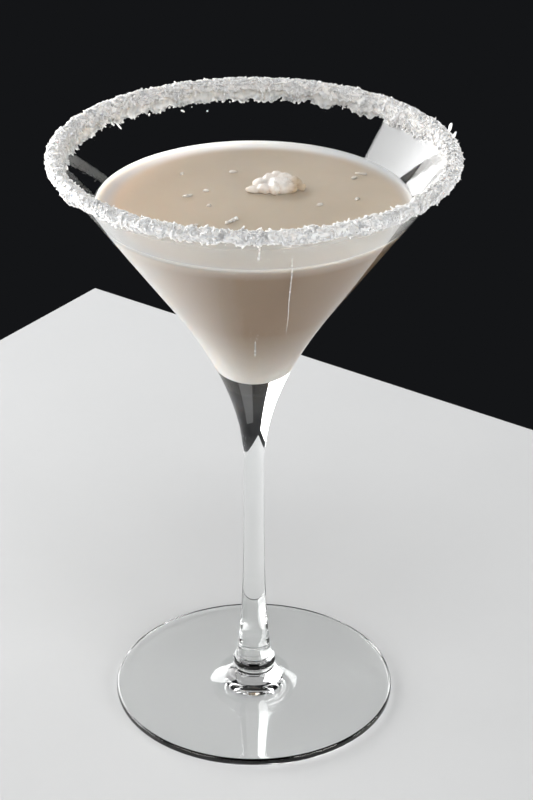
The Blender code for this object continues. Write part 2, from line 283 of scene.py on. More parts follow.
def to_mesh(bm, name, smooth=True):
    """Turn a bmesh into a mesh whose faces all point outwards."""
    bmesh.ops.recalc_face_normals(bm, faces=bm.faces[:])
    for face in bm.faces:
        face.smooth = smooth
    mesh = bpy.data.meshes.new(name)
    bm.to_mesh(mesh)
    bm.free()
    return mesh


def finished(bm, name, material, tone_at=None):
    """A new piece from a bmesh, in its material, with a tone at each point where that varies."""
    piece = new_object(name, to_mesh(bm, name))
    piece.data.materials.append(material)
    if tone_at:
        paint(piece.data, "tone", tone_at)
    return piece


def paint(mesh, name, value_at):
    """Give a mesh a point value that its material or a tree reads."""
    values = mesh.attributes.new(name, "FLOAT", "POINT")
    for vertex, item in zip(mesh.vertices, values.data):
        item.value = max(0.0, value_at(vertex.co))


def skin(bm, rows):
    """Lay faces between rows of points that are closed loops."""
    for row, following in zip(rows, rows[1:]):
        for index in range(len(row)):
            beyond = (index + 1) % len(row)
            bm.faces.new((row[index], following[index], following[beyond], row[beyond]))


def face_outward(piece):
    bm = bmesh.new()
    bm.from_mesh(piece.data)
    bmesh.ops.recalc_face_normals(bm, faces=bm.faces[:])
    bm.to_mesh(piece.data)
    bm.free()
    return piece


def curve_points(start, start_pull, end_pull, end, steps):
    """A curve between two places, each with a pull, in (radius, height)."""
    places = []
    for step in range(steps + 1):
        t = step / steps
        s = 1.0 - t
        weights = (s * s * s, 3 * s * s * t, 3 * s * t * t, t * t * t)
        corners = (start, start_pull, end_pull, end)
        places.append(tuple(sum(w * c[axis] for w, c in zip(weights, corners)) for axis in (0, 1)))
    return places


def arc_points(centre, radius, first, last, steps):
    places = []
    for step in range(steps + 1):
        angle = math.radians(first + (last - first) * step / steps)
        places.append((centre[0] + radius * math.cos(angle), centre[1] + radius * math.sin(angle)))
    return places


def line_points(start, end, steps):
    """Points along a straight line, without its last one."""
    return [tuple(first + (last - first) * step / steps for first, last in zip(start, end))
            for step in range(steps)]


def rounded(points, steps):
    """A smooth curve through (radius, height) places, both ends kept."""
    ends = [points[0]] + list(points) + [points[-1]]
    places = []
    for before, start, end, after in zip(ends, ends[1:], ends[2:], ends[3:]):
        for step in range(steps):
            t = step / steps
            places.append(tuple(
                0.5 * (2 * s + (e - b) * t + (2 * b - 5 * s + 4 * e - a) * t ** 2
                       + (3 * s - b - 3 * e + a) * t ** 3)
                for b, s, e, a in zip(before, start, end, after)))
    places.append(points[-1])
    return places


def outer_wall(height):
    """Radius of the bowl's outside at a height."""
    return RIM_RADIUS - (RIM_HEIGHT - height) * BOWL_SLOPE


def inner_wall(height):
    return outer_wall(height) - WALL_ACROSS


def tip_arc(inset, steps):
    """The round lowest part of the bowl's inside, from the cone down to the axis."""
    centre_height = INNER_APEX + TIP_RADIUS / math.sin(BOWL_ANGLE)
    return arc_points((0.0, centre_height), TIP_RADIUS - inset, -math.degrees(BOWL_ANGLE), -90, steps)


def around(angle):
    return Vector((math.cos(angle), math.sin(angle), 0.0))


def at(angle, radius, height):
    """The place at an angle round the glass's axis."""
    return around(angle) * radius + Vector((0, 0, height))


# Trees

def turning_tree():
    """Turns an outline, radius along X and height along Z, into a closed round body."""
    tree, given, result = new_tree("turned_body", {"Sides": "Int", "Material": "Material"})
    outline = add(tree, "GeometryNodeAttributeDomainSize", {"Geometry": given["Geometry"]})
    count = outline.outputs["Point Count"]
    columns = calculated(tree, "ADD", given["Sides"], 1.0)
    grid = add(tree, "GeometryNodeMeshGrid", {"Vertices X": columns, "Vertices Y": count})
    index = add(tree, "GeometryNodeInputIndex").outputs[0]
    column = calculated(tree, "FLOOR", calculated(tree, "DIVIDE", index, count))
    row = calculated(tree, "MODULO", index, count)
    spot = add(tree, "GeometryNodeInputPosition").outputs[0]
    sample = add(tree, "GeometryNodeSampleIndex",
                 {"Geometry": given["Geometry"], "Value": spot, "Index": row},
                 data_type="FLOAT_VECTOR", domain="POINT")
    corner = add(tree, "ShaderNodeSeparateXYZ", {0: sample.outputs[0]}).outputs
    angle = calculated(tree, "DIVIDE", calculated(tree, "MULTIPLY", column, math.tau), given["Sides"])
    across, along = [calculated(tree, "MULTIPLY", calculated(tree, wave, angle), corner["X"])
                     for wave in ("COSINE", "SINE")]
    place = add(tree, "ShaderNodeCombineXYZ", {0: across, 1: along, 2: corner["Z"]}).outputs[0]
    body = add(tree, "GeometryNodeSetPosition", {"Geometry": grid.outputs["Mesh"], "Position": place})
    closed = add(tree, "GeometryNodeMergeByDistance", {"Geometry": body.outputs[0], "Distance": 1e-6})
    smooth = add(tree, "GeometryNodeSetShadeSmooth", {0: closed.outputs[0]})
    end_tree(tree, smooth.outputs[0], given, result)
    return tree


def scatter_tree():
    """Strews shapes over a surface, thickest where its cover is 1."""
    tree, given, result = new_tree("strewn_coconut", {
        "Shapes": "Collection", "Per Area": "Float", "Least": "Float", "Most": "Float", "Lean": "Float",
        "Seed": "Int", "Material": "Material"})
    cover = add(tree, "GeometryNodeInputNamedAttribute", {"Name": "cover"}, data_type="FLOAT")
    density = calculated(tree, "MULTIPLY", cover.outputs["Attribute"], given["Per Area"])
    points = add(tree, "GeometryNodeDistributePointsOnFaces",
                 {"Mesh": given["Geometry"], "Density": density, "Seed": given["Seed"]})
    back = calculated(tree, "MULTIPLY", given["Lean"], -1.0)
    least = add(tree, "ShaderNodeCombineXYZ", {0: back, 1: back, 2: 0.0})
    most = add(tree, "ShaderNodeCombineXYZ", {0: given["Lean"], 1: given["Lean"], 2: math.tau})
    angles = add(tree, "FunctionNodeRandomValue",
                 {0: least.outputs[0], 1: most.outputs[0], "Seed": given["Seed"]},
                 data_type="FLOAT_VECTOR")
    turn = add(tree, "FunctionNodeEulerToRotation", {0: angles.outputs[0]})
    heading = add(tree, "FunctionNodeRotateRotation",
                  {"Rotation": points.outputs["Rotation"], "Rotate By": turn.outputs[0]},
                  rotation_space="LOCAL")
    next_seed, last_seed = [calculated(tree, "ADD", given["Seed"], step) for step in (1.0, 2.0)]
    size = add(tree, "FunctionNodeRandomValue", {2: given["Least"], 3: given["Most"], "Seed": next_seed})
    which = add(tree, "FunctionNodeRandomValue", {4: 0, 5: 99, "Seed": last_seed}, data_type="INT")
    shapes = add(tree, "GeometryNodeCollectionInfo",
                 {"Collection": given["Shapes"], "Separate Children": True, "Reset Children": True})
    strewn = add(tree, "GeometryNodeInstanceOnPoints", {
        "Points": points.outputs["Points"], "Instance": shapes.outputs[0], "Pick Instance": True,
        "Instance Index": which.outputs[2], "Rotation": heading.outputs[0], "Scale": size.outputs[1]})
    tone = add(tree, "FunctionNodeRandomValue", {2: 0.0, 3: 1.0, "Seed": last_seed})
    toned = add(tree, "GeometryNodeStoreNamedAttribute",
                {"Geometry": strewn.outputs[0], "Name": "tone", "Value": tone.outputs[1]},
                data_type="FLOAT", domain="INSTANCE")
    end_tree(tree, toned.outputs[0], given, result)
    return tree


def drip_tree():
    """Sweeps a round bead along lines, as thick as their girth says."""
    tree, given, result = new_tree("drip_bead", {"Sides": "Int", "Material": "Material"})
    line = add(tree, "GeometryNodeMeshToCurve", {"Mesh": given["Geometry"]})
    girth = add(tree, "GeometryNodeInputNamedAttribute", {"Name": "girth"}, data_type="FLOAT")
    ring = add(tree, "GeometryNodeCurvePrimitiveCircle", {"Resolution": given["Sides"], "Radius": 1.0})
    bead = add(tree, "GeometryNodeCurveToMesh", {
        "Curve": line.outputs[0], "Profile Curve": ring.outputs["Curve"],
        "Scale": girth.outputs["Attribute"], "Fill Caps": True})
    smooth = add(tree, "GeometryNodeSetShadeSmooth", {0: bead.outputs[0]})
    end_tree(tree, smooth.outputs[0], given, result)
    return tree


# Finishes

def new_finish(name):
    """A material with its tree, its shader and the place on the object that patterns read."""
    material = bpy.data.materials.new(name)
    material.use_nodes = True
    tree = material.node_tree
    return material, tree, tree.nodes["Principled BSDF"], add(tree, "ShaderNodeTexCoord").outputs["Object"]


def noise_at(tree, place, scale, detail=3.0, roughness=0.55):
    return add(tree, "ShaderNodeTexNoise",
               {"Vector": place, "Scale": scale, "Detail": detail, "Roughness": roughness}).outputs["Fac"]


def ranged(tree, value, from_low, from_high, low, high):
    """Carry a value over from one range to another, with nothing beyond its ends."""
    return add(tree, "ShaderNodeMapRange", {"Value": value, "From Min": from_low, "From Max": from_high,
                                            "To Min": low, "To Max": high}).outputs["Result"]


def patchy(tree, place, scale, low, high, detail=3.0):
    """A value that wanders between two ends over a piece."""
    return ranged(tree, noise_at(tree, place, scale, detail), 0.3, 0.7, low, high)


def blended(tree, share, first, second):
    """Mix two colours, each a value or a socket."""
    mix = add(tree, "ShaderNodeMix", {"Factor": share}, data_type="RGBA")
    for socket, colour in (("A", first), ("B", second)):
        place = [item for item in mix.inputs if item.name == socket and item.type == "RGBA"][0]
        if isinstance(colour, bpy.types.NodeSocket):
            tree.links.new(colour, place)
        else:
            place.default_value = (*colour, 1.0)
    return [item for item in mix.outputs if item.type == "RGBA"][0]


def bumped(tree, shader, height, distance, strength):
    bump = add(tree, "ShaderNodeBump", {"Height": height, "Distance": distance, "Strength": strength})
    tree.links.new(bump.outputs["Normal"], shader.inputs["Normal"])


def clear_glass():
    """Clear glass with faint smears and pulls."""
    material, tree, shader, place = new_finish("clear_glass")
    shader.inputs["Base Color"].default_value = (0.985, 0.995, 0.99, 1.0)
    shader.inputs["Transmission Weight"].default_value = 1.0
    shader.inputs["IOR"].default_value = 1.5
    smears = noise_at(tree, place, 70.0)
    tree.links.new(ranged(tree, smears, 0.55, 0.8, 0.0, 0.03), shader.inputs["Roughness"])
    bumped(tree, shader, noise_at(tree, place, 55.0, 1.0), 0.00004, 0.4)
    return material


def cream_drink():
    """Creamy liquid: warm beige, with painted light and shade: a pale ring at the wall, a paler left, and a
    darker near side that pales to its tip.
    """
    material, tree, shader, place = new_finish("cream_drink")
    flat = add(tree, "ShaderNodeVectorMath", {0: place, 1: (1.0, 1.0, 0.0)},
               operation="MULTIPLY").outputs[0]
    radius = add(tree, "ShaderNodeVectorMath", {0: flat}, operation="LENGTH").outputs["Value"]
    corner = add(tree, "ShaderNodeSeparateXYZ", {0: flat}).outputs
    height = add(tree, "ShaderNodeSeparateXYZ", {0: place}).outputs["Z"]
    right, far = [calculated(tree, "DIVIDE", corner[axis], radius) for axis in ("X", "Y")]
    upper = ranged(tree, height, DRINK_LEVEL - 0.0016, DRINK_LEVEL - 0.0004, 0.0, 1.0)
    body = blended(tree, upper, drink_side(tree, height, right, far), drink_top(tree, place, corner["X"]))
    # painted light: the pale ring at the wall is whiter on its far side than on its near side
    ring = blended(tree, ranged(tree, far, 0.3, 0.95, 0.0, 1.0), (0.51, 0.503, 0.5), (0.82, 0.82, 0.83))
    ring_share = calculated(tree, "MULTIPLY", drink_ring(tree, flat, radius), upper)
    tree.links.new(blended(tree, ring_share, body, ring), shader.inputs["Base Color"])
    shader.inputs["Subsurface Weight"].default_value = 0.8
    shader.inputs["Subsurface Radius"].default_value = (1.0, 0.8, 0.6)
    shader.inputs["Subsurface Scale"].default_value = 0.005
    shader.inputs["IOR"].default_value = 1.36
    tree.links.new(patchy(tree, place, 160.0, 0.28, 0.38, 2.0), shader.inputs["Roughness"])
    bumped(tree, shader, noise_at(tree, place, 300.0, 2.0), 0.00003, 0.1)
    return material


def drink_top(tree, place, right):
    """Colour of the drink's top: faint swirls, and painted light that warms and pales it at the left,
    towards the window.
    """
    swirls = ranged(tree, noise_at(tree, place, 45.0, 4.0, 0.5), 0.35, 0.7, 0.0, 1.0)
    beige = blended(tree, swirls, (0.53, 0.447, 0.347), (0.575, 0.487, 0.385))
    # painted light: the top's left side, towards the window, is warmer and paler
    return blended(tree, ranged(tree, right, -0.006, -0.036, 0.0, 1.0), beige, (0.71, 0.56, 0.41))


def drink_side(tree, height, right, far):
    """Colour of the drink through the wall: painted shade darkens its near side, and painted light pales
    that side to its tip and left.
    """
    near = ranged(tree, far, 0.2, -0.35, 0.0, 1.0)
    lit_near_tip = calculated(tree, "MULTIPLY", ranged(tree, height, *DRINK_TIP, 0.0, 1.0), near)
    lit_near_left = calculated(tree, "MULTIPLY", ranged(tree, right, -0.1, -0.85, 0.0, 0.7), near)
    # painted shade: the near side, facing away from the lamps, is darkest
    side = blended(tree, near, (0.46, 0.37, 0.275), (0.395, 0.28, 0.185))
    # painted light: the near side pales to its tip, where light comes through the thin drink
    side = blended(tree, lit_near_tip, side, (0.74, 0.71, 0.66))
    # painted light: the near side pales to its left, towards the window
    side = blended(tree, lit_near_left, side, (0.78, 0.77, 0.75))
    # paler in a band just under the drink's level
    paler_under_level = ranged(tree, height, DRINK_LEVEL - 0.0042, DRINK_LEVEL - 0.0010, 0.0, 0.5)
    return blended(tree, paler_under_level, side, (0.68, 0.66, 0.63))


def drink_ring(tree, flat, radius):
    """Painted light on the drink's top at the wall: a pale ring that is widest at the far left."""
    lean = add(tree, "ShaderNodeVectorMath", {0: flat, 1: (-0.030, 0.020, 0.0)},
               operation="DOT_PRODUCT").outputs["Value"]
    start, end = DRINK_RING
    return add(tree, "ShaderNodeMapRange", {
        "Value": calculated(tree, "ADD", lean, radius), "From Min": start, "From Max": end,
        "To Min": 0.0, "To Max": 1.0}, interpolation_type="SMOOTHSTEP").outputs["Result"]


def coconut(name, shade, pale, low, high, grain, subsurface, depth):
    """Coconut: each bit has its own tone from shade to pale, and is as rough as low to high."""
    material, tree, shader, place = new_finish(name)
    tone = add(tree, "ShaderNodeAttribute", attribute_name="tone").outputs["Fac"]
    patches = patchy(tree, place, 130.0, -0.25, 0.25)
    share = add(tree, "ShaderNodeMath", {0: tone, 1: patches}, operation="ADD", use_clamp=True).outputs[0]
    tree.links.new(blended(tree, share, shade, pale), shader.inputs["Base Color"])
    shader.inputs["Subsurface Weight"].default_value = subsurface
    shader.inputs["Subsurface Radius"].default_value = (1.0, 0.9, 0.8)
    shader.inputs["Subsurface Scale"].default_value = depth
    fine = noise_at(tree, place, 2600.0, 3.0)
    tree.links.new(ranged(tree, fine, 0.3, 0.7, low, high), shader.inputs["Roughness"])
    bumped(tree, shader, fine, grain, 0.6)
    return material


def syrup():
    """A thin milky run on the glass."""
    material, tree, shader, place = new_finish("dried_syrup")
    tint = patchy(tree, place, 400.0, 0.0, 1.0)
    tree.links.new(blended(tree, tint, (0.80, 0.77, 0.73), (0.92, 0.91, 0.89)), shader.inputs["Base Color"])
    shader.inputs["Transmission Weight"].default_value = 0.35
    shader.inputs["IOR"].default_value = 1.4
    tree.links.new(patchy(tree, place, 900.0, 0.1, 0.35), shader.inputs["Roughness"])
    bumped(tree, shader, noise_at(tree, place, 700.0), 0.00005, 0.5)
    return material


def milky_film():
    """What a creamy drink leaves on the wall over its level, with painted reflection: a faint white haze
    that stands in for the wall's pale sheen.
    """
    material, tree, shader, place = new_finish("milky_film")
    white = blended(tree, patchy(tree, place, 120.0, 0.0, 1.0), (0.88, 0.87, 0.85), (0.94, 0.935, 0.92))
    tree.links.new(white, shader.inputs["Base Color"])
    tree.links.new(patchy(tree, place, 500.0, 0.4, 0.6), shader.inputs["Roughness"])
    height = add(tree, "ShaderNodeSeparateXYZ", {0: place}).outputs["Z"]
    tree.links.new(ranged(tree, height, FILM_FAINTEST, FILM_TOP, *FILM_HAZE), shader.inputs["Alpha"])
    bumped(tree, shader, noise_at(tree, place, 800.0), 0.00002, 0.3)
    return material


def pale_floor():
    """Matt and pale, with faint clouds."""
    material, tree, shader, place = new_finish("pale_floor")
    pale = blended(tree, patchy(tree, place, 6.0, 0.0, 1.0), (0.515, 0.52, 0.523), (0.545, 0.55, 0.553))
    tree.links.new(pale, shader.inputs["Base Color"])
    tree.links.new(patchy(tree, place, 300.0, 0.7, 0.85), shader.inputs["Roughness"])
    shader.inputs["Specular IOR Level"].default_value = 0.15
    bumped(tree, shader, noise_at(tree, place, 900.0), 0.00003, 0.3)
    return material


# Glass

def glass_outline():
    """The glass in (radius, height), from the underside's middle round to the bowl's lowest point."""
    points = [(0.0, FOOT_HOLLOW)]
    for step in range(1, 17):
        share = step / 16
        points.append((FOOT_HOLLOW_RADIUS * share, FOOT_HOLLOW * (1 - share ** 2)))
    points += arc_points((FOOT_RADIUS - FOOT_ROUND, FOOT_ROUND), FOOT_ROUND, -90, 0, 10)
    points += arc_points((FOOT_RADIUS - FOOT_UPPER_ROUND, FOOT_EDGE - FOOT_UPPER_ROUND),
                         FOOT_UPPER_ROUND, 8, 86, 9)
    dome = COLLAR_LOW - FOOT_EDGE
    dome_edge = FOOT_RADIUS - 1.3 * FOOT_UPPER_ROUND
    for step in range(1, 46):
        radius = dome_edge - (dome_edge - COLLAR_NECK) * (step / 46) ** 0.8
        points.append((radius, FOOT_EDGE + dome * math.exp((COLLAR_NECK - radius) / FOOT_DOME_REACH)))
    points += rounded([
        (COLLAR_NECK, COLLAR_LOW),
        (COLLAR_RADIUS - 0.0001, COLLAR_LOW + 0.0006),
        (COLLAR_RADIUS + 0.0001, COLLAR_LOW + 0.0016),
        (COLLAR_RADIUS - 0.0001, COLLAR_LOW + 0.0027),
        (COLLAR_RADIUS - 0.0005, COLLAR_LOW + 0.0036),
        (STEM_FOOT_RADIUS + 0.0001, COLLAR_LOW + 0.0041),
        (STEM_FOOT_RADIUS, COLLAR_HIGH),
    ], 5)
    points += stem_outline()[1:]
    points += line_points(points[-1], (RIM_RADIUS, RIM_HEIGHT), 30)[1:]
    points += arc_points((RIM_RADIUS - 0.5 * WALL_ACROSS, RIM_HEIGHT), 0.5 * WALL_ACROSS, 0, 180, 12)
    points += line_points(points[-1], tip_arc(0.0, 1)[0], 40)[1:]
    points += tip_arc(0.0, 16)
    return points


def stem_outline():
    """The stem, from the collar over its waist to where it flares into the bowl."""
    foot = (STEM_FOOT_RADIUS, COLLAR_HIGH)
    waist = (STEM_RADIUS, STEM_WAIST)
    lower = curve_points(foot, (foot[0] - STEM_FOOT_LEAN, foot[1] + STEM_FOOT_PULL),
                         (waist[0], waist[1] - STEM_WAIST_PULL), waist, 36)
    top = (outer_wall(FLARE_TOP), FLARE_TOP)
    bowl_pull = (top[0] - FLARE_BOWL_PULL * math.sin(BOWL_ANGLE),
                 top[1] - FLARE_BOWL_PULL * math.cos(BOWL_ANGLE))
    upper = curve_points(waist, (waist[0], waist[1] + FLARE_STEM_PULL), bowl_pull, top, 60)
    return lower + upper[1:]


def turned(name, outline, tree, sides, material):
    """A closed round body from an outline that starts and ends on the axis."""
    corners = [(max(radius, 0.0), 0.0, height) for radius, height in outline]
    corners[0] = (0.0, 0.0, corners[0][2])
    corners[-1] = (0.0, 0.0, corners[-1][2])
    mesh = bpy.data.meshes.new(name)
    mesh.from_pydata(corners, [(index, index + 1) for index in range(len(corners) - 1)], [])
    return face_outward(grow(name, mesh, tree, sides=sides, material=material))


# Drink

def drink_outline():
    """The drink in (radius, height), from its tip along the wall to the middle of its top."""
    reach = DRINK_REACH / math.cos(BOWL_ANGLE)
    top = DRINK_LEVEL + MENISCUS_RISE
    edge = inner_wall(top) + reach
    points = list(reversed(tip_arc(-DRINK_REACH, 12)))
    points += line_points(points[-1], (edge, top), 40)[1:]
    points.append((edge, top))
    for step in range(1, 11):
        share = step / 10
        rise = MENISCUS_RISE * (1 - share) ** 2.4
        points.append((edge - reach - share * MENISCUS_WIDTH, DRINK_LEVEL + rise))
    points += line_points(points[-1], (0.0, DRINK_LEVEL), 70)[1:]
    points.append((0.0, DRINK_LEVEL))
    return points


def ripple_drink(piece):
    """Make the drink's top faintly uneven, and let it climb a little round the clump."""
    for vertex in piece.data.vertices:
        spot = vertex.co
        if spot.z > DRINK_LEVEL - 0.0002:
            fade = min(1.0, max(0.0, (RIPPLE_RADIUS - math.hypot(spot.x, spot.y)) / RIPPLE_FADE))
            wave = RIPPLE * (noise.noise(spot * 90.0) + 0.5 * noise.noise(spot * 230.0))
            away = math.hypot((spot.x - CLUMP_PLACE[0]) / CLUMP_STRETCH, spot.y - CLUMP_PLACE[1])
            climb = CLIMB * math.exp(-max(0.0, away - CLIMB_RADIUS) / CLIMB_FADE)
            spot.z += fade * (wave + climb)
    return piece


# Coconut crust

def crust_section(angle):
    """The crust's outline at one angle, from its outer lip over the top to its inner lip."""
    way = around(angle)
    front = math.exp(-((angle - math.radians(270)) / CRUST_FRONT_SPREAD) ** 2)
    ragged = CRUST_RAGGED * (noise.noise(way * 9.0) + noise.noise(way * 23.0)
                             + 0.5 * noise.noise(way * 55.0))
    knob = KNOB_SWELL * math.exp(-((angle - KNOB_ANGLE) / KNOB_SPREAD) ** 2)
    low_out = CRUST_LOW_OUTSIDE + CRUST_FRONT_LIFT * front + ragged - knob
    heavy = math.exp(-((angle - CRUST_HEAVY_ANGLE) / CRUST_HEAVY_SPREAD) ** 2)
    wander = CRUST_RAGGED * (noise.noise(way * 11.0 + Vector((0, 0, 5))) + noise.noise(way * 26.0)
                             + 0.5 * noise.noise(way * 60.0))
    low_in = min(CRUST_LOW_INSIDE + 1.2 * wander, CRUST_HIGHEST_INSIDE) - CRUST_DEEPER * heavy
    top = CRUST_TOP + CRUST_TOP_TILT * math.cos(angle - CRUST_TOP_TILT_ANGLE)
    return [
        (outer_wall(low_out) + 0.0002, low_out - 0.0002),
        (outer_wall(low_out) + 0.0008, low_out),
        (outer_wall(low_out + 0.0013) + 0.0017 + knob, low_out + 0.0013),
        (CRUST_RADIUS - 0.0003 + knob, top - 0.0026),
        (CRUST_RADIUS - 0.0006, top - 0.0011),
        (CRUST_RADIUS - 0.0017, top - 0.0003),
        (CRUST_RADIUS - 0.0030, top - 0.0001),
        (CRUST_RADIUS - 0.0043, top - 0.0005),
        (CRUST_RADIUS - 0.0051, top - 0.0014),
        (inner_wall(low_in + 0.0018) - 0.0012, low_in + 0.0018),
        (inner_wall(low_in + 0.0009) - 0.0009, low_in + 0.0009),
        (inner_wall(low_in) - 0.0004, low_in),
        (inner_wall(low_in) + 0.0002, low_in - 0.0001),
    ]


def crust_core(material):
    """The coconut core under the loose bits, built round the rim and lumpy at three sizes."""
    bm = bmesh.new()
    rows = []
    for side in range(CORE_SIDES):
        angle = math.tau * side / CORE_SIDES
        rows.append([bm.verts.new(at(angle, radius, height))
                     for radius, height in rounded(crust_section(angle), 3)])
    skin(bm, rows + rows[:1])
    bmesh.ops.recalc_face_normals(bm, faces=bm.faces[:])
    bm.normal_update()
    for vertex in bm.verts:
        lump = sum(size * noise.noise(vertex.co * fineness) for size, fineness in CORE_LUMPS)
        vertex.co += vertex.normal * (lump - CORE_INSET)
    return finished(bm, "coconut_core", material, lambda spot: 0.5 + 0.8 * noise.noise(spot * 900.0))


def crust_guide(core):
    """Where loose bits may lie: the crust itself and a fringe of wall under its two edges."""
    bm = bmesh.new()
    bm.from_mesh(core.data)
    inside = [face for face in bm.faces if in_the_wall(face.calc_center_median())]
    bmesh.ops.delete(bm, geom=inside, context="FACES")
    cover = bm.verts.layers.float.new("cover")
    for vertex in bm.verts:
        vertex[cover] = 1.0
    add_fringe(bm, cover, outer_wall, 0, 1)
    add_fringe(bm, cover, inner_wall, -1, -1)
    mesh = bpy.data.meshes.new("crust_guide")
    bm.to_mesh(mesh)
    bm.free()
    return mesh


def add_fringe(bm, cover, wall, edge, sign):
    """A strip just off the wall under one edge of the crust; sign is -1 on the inside."""
    rows = []
    for side in range(FRINGE_SIDES):
        angle = math.tau * side / FRINGE_SIDES
        low = crust_section(angle)[edge][1]
        row = []
        for step, share in enumerate(FRINGE_COVER):
            height = low + FRINGE_STEP - FRINGE_STEP * step
            spot = at(angle, wall(height) + sign * 0.00012, height)
            vertex = bm.verts.new(spot)
            vertex[cover] = share * max(0.0, 0.5 + 1.6 * noise.noise(spot * 300.0))
            row.append(vertex)
        rows.append(row)
    for row, following in zip(rows, rows[1:] + rows[:1]):
        for index in range(len(FRINGE_COVER) - 1):
            corners = (row[index], row[index + 1], following[index + 1], following[index])
            bm.faces.new(corners if sign > 0 else tuple(reversed(corners)))


def in_the_wall(spot):
    """Whether the glass hides this place."""
    radius = math.hypot(spot.x, spot.y)
    return inner_wall(spot.z) - 0.0001 < radius < outer_wall(spot.z) + 0.0001 and spot.z < RIM_HEIGHT


def crumb_shapes(draw):
    """Lumpy little crumbs of twenty faces each."""
    meshes = []
    for _ in range(7):
        bm = bmesh.new()
        bmesh.ops.create_icosphere(bm, subdivisions=1, radius=0.5)
        for vertex in bm.verts:
            vertex.co *= draw.uniform(0.72, 1.25)
            vertex.co = Vector(a * b for a, b in zip(vertex.co, CRUMB_SIZE))
        meshes.append(to_mesh(bm, "crumb", smooth=False))
    return meshes


def sliver_shapes(draw, size, sections, bend, kinds):
    """Shaved slivers: bent, twisted strips that narrow towards both ends."""
    length, width, thickness = size
    meshes = []
    for _ in range(kinds):
        bm = bmesh.new()
        curl = draw.uniform(-bend, bend)
        sway = draw.uniform(-bend, bend)
        twist = draw.uniform(-0.7, 0.7)
        rows = []
        for section in range(sections):
            along = section / (sections - 1) - 0.5
            narrow = (1.0 - 1.7 * along * along) * draw.uniform(0.8, 1.15)
            turn = Matrix.Rotation(twist * along, 3, "X")
            row = []
            for side, up in ((-0.5, -0.5), (0.5, -0.5), (0.5, 0.5), (-0.5, 0.5)):
                rise = up * thickness * narrow * draw.uniform(0.8, 1.2)
                corner = turn @ Vector((0.0, side * width * narrow, rise))
                corner.x = along * length + draw.uniform(-0.04, 0.04) * length
                corner.y += sway * length * along * along
                corner.z += curl * length * (along * along - 0.1)
                row.append(bm.verts.new(corner))
            rows.append(row)
        for row, following in zip(rows, rows[1:]):
            for index in range(4):
                beyond = (index + 1) % 4
                bm.faces.new((row[index], row[beyond], following[beyond], following[index]))
        bm.faces.new(rows[0])
        bm.faces.new(rows[-1])
        meshes.append(to_mesh(bm, "sliver", smooth=False))
    return meshes


def shape_box(name, meshes):
    """Keep shapes for strewing in a collection of their own, outside the scene."""
    box = bpy.data.collections.new(name)
    for index, mesh in enumerate(meshes):
        new_object(f"{name}_{index}", mesh, box)
    return box


def strew(name, guide, box, tree, material, per_area, least, most, lean, seed):
    """Strew shapes over a guide, each between least and most in size and leaning up to lean radians."""
    return grow(name, guide.copy(), tree, shapes=box, material=material, per_area=float(per_area),
                least=least, most=most, lean=lean, seed=seed)


def strands(material, draw):
    """Longer shreds that stand up from the crust at its heavy side."""
    bm = bmesh.new()
    for degrees, height, lean, length in STRANDS:
        angle = math.radians(degrees)
        along = Vector((0, 0, 1)) + lean * around(angle)
        size = (length, STRAND_WIDTH, STRAND_THICKNESS)
        (shape,) = sliver_shapes(draw, size, sections=7, bend=0.35, kinds=1)
        start = len(bm.verts)
        bm.from_mesh(shape)
        bm.verts.ensure_lookup_table()
        place = Matrix.Translation(at(angle, CRUST_RADIUS - 0.0012, height))
        turn = along.to_track_quat("X", "Z").to_matrix().to_4x4()
        bmesh.ops.transform(bm, matrix=place @ turn, verts=bm.verts[start:])
    return finished(bm, "coconut_strands", material, lambda spot: 0.7)


# Clump and specks on the drink; crumbs, film and syrup on the wall

def blob(bm, place, half, turn, bumps, seed, finer=3):
    """Add a lumpy ellipsoid to a bmesh."""
    start = len(bm.verts)
    bmesh.ops.create_icosphere(bm, subdivisions=finer, radius=1.0)
    bm.verts.ensure_lookup_table()
    for vertex in bm.verts[start:]:
        vertex.co *= 1.0 + bumps * noise.noise(vertex.co * 1.7 + Vector((seed, 2.3 * seed, 0)))
    shape = Matrix.Diagonal((*half, 1.0))
    matrix = Matrix.Translation(place) @ Matrix.Rotation(turn, 4, "Z") @ shape
    bmesh.ops.transform(bm, matrix=matrix, verts=bm.verts[start:])


def clump(slivers, tree, material):
    """Soft wet lumps with slivers sunk into them, melted together."""
    bm = bmesh.new()
    middle = Vector((*CLUMP_PLACE, DRINK_LEVEL))
    for index, (x, y, z, *sizes) in enumerate(CLUMP_LUMPS):
        spread = Vector((CLUMP_SPREAD[0] * x, CLUMP_SPREAD[1] * y, z + CLUMP_LIFT))
        half = [size * swell for size, swell in zip(sizes, CLUMP_SWELL)]
        blob(bm, middle + spread * 0.001, half, 0.5 * index, 0.2, 3.1 * index)
    lumps = to_mesh(bm, "clump_lumps")
    paint(lumps, "cover", lambda spot: float(spot.z > DRINK_LEVEL + 0.0002))
    loose = strew("clump_slivers", lumps, slivers, tree, material,
                  per_area=30_000, least=0.5, most=0.9, lean=0.1, seed=31)
    bm = bmesh.new()
    bm.from_mesh(lumps)
    bm.from_mesh(loose.data)
    bpy.data.objects.remove(loose)
    piece = new_object("clump_body", to_mesh(bm, "clump_body"))
    melt = piece.modifiers.new("melt", "REMESH")
    melt.mode = "VOXEL"
    melt.voxel_size = CLUMP_VOXEL
    soften = piece.modifiers.new("soften", "SMOOTH")
    soften.factor = 0.6
    soften.iterations = 10
    settle(piece)
    for face in piece.data.polygons:
        face.use_smooth = True
    piece.data.materials.clear()
    piece.data.materials.append(material)
    paint(piece.data, "tone", clump_tone)
    return piece


def clump_tone(spot):
    """Palest on top, and brown just over the drink where it is soaked; painted shade browns its right end.
    """
    # painted shade: the clump's right end, away from the light, is browner
    shaded_right = max(0.0, spot.x - 0.0090) * 300.0
    return 0.45 + 220.0 * (spot.z - DRINK_LEVEL) + 0.25 * noise.noise(spot * 700.0) - shaded_right


